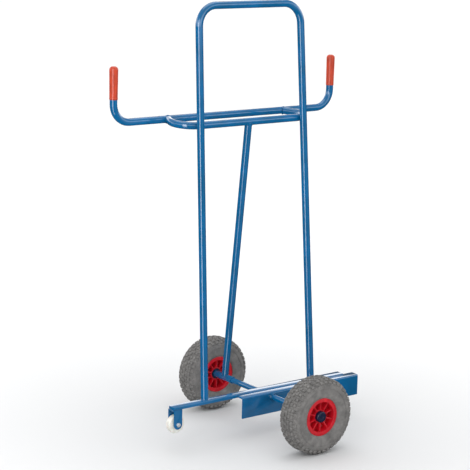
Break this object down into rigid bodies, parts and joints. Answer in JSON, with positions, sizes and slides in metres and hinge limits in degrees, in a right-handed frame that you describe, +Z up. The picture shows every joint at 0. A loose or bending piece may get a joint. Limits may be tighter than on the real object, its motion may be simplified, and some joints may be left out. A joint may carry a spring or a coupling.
{
  "type": "hand truck",
  "caption": "Tubular steel hand truck for boards and panels: a hoop and handle bar stand over a load ledge between large foam-tyred wheels, with a small castor at one end.",
  "frame": {"origin": "on the floor, midway between the two large wheels and in the middle plane of the hoop", "axes": "+Z up; X along the rail, the rolling direction, with the castor at -X; Y along the axle, with the load ledge on the -Y side of the hoop"},
  "size_m": [0.9454, 0.656, 1.4625],
  "materials": {
    "frame_blue": "glossy powder coat",
    "ledge_face": "glossy powder coat on a folded plate",
    "grip_red": "soft glossy vinyl",
    "rim_red": "moulded, semi-gloss",
    "tyre_grey": "matt grey foam with a closed skin",
    "castor_white": "moulded, satin",
    "zinc": "bright zinc plate",
    "cap_blue": "moulded, glossy",
    "bush_steel": "turned steel, oiled"
  },
  "bodies": {
    "frame": {"hoop": "frame_blue", "handle_bar": "frame_blue", "grip_left": "grip_red", "grip_right": "grip_red", "bow": "frame_blue", "stay": "frame_blue", "rail": "frame_blue", "ledge": "ledge_face", "axle": "frame_blue", "near_sleeve": "frame_blue", "far_sleeve": "frame_blue", "near_cap": "cap_blue", "far_cap": "cap_blue", "axle_washers": "cap_blue", "castor_fork": "frame_blue", "castor_bush": "bush_steel", "castor_bolt": "zinc", "castor_nut": "zinc"},
    "near_wheel": {"near_tyre": "tyre_grey", "near_rim_outer": "rim_red", "near_rim_inner": "rim_red", "near_bush": "bush_steel"},
    "far_wheel": {"far_tyre": "tyre_grey", "far_rim_outer": "rim_red", "far_rim_inner": "rim_red", "far_bush": "bush_steel"},
    "castor_roller": {"castor_wheel": "castor_white"}
  },
  "joints": [
    {"name": "near_wheel_spin", "type": "hinge", "parent": "frame", "child": "near_wheel", "pos_m": [0.024, -0.2875, 0.13], "axis": [0, 1, 0], "continuous": true},
    {"name": "far_wheel_spin", "type": "hinge", "parent": "frame", "child": "far_wheel", "pos_m": [0.024, 0.2875, 0.13], "axis": [0, 1, 0], "continuous": true},
    {"name": "castor_spin", "type": "hinge", "parent": "frame", "child": "castor_roller", "pos_m": [-0.35, -0.014, 0.09], "axis": [0, 1, 0], "continuous": true}
  ]
}
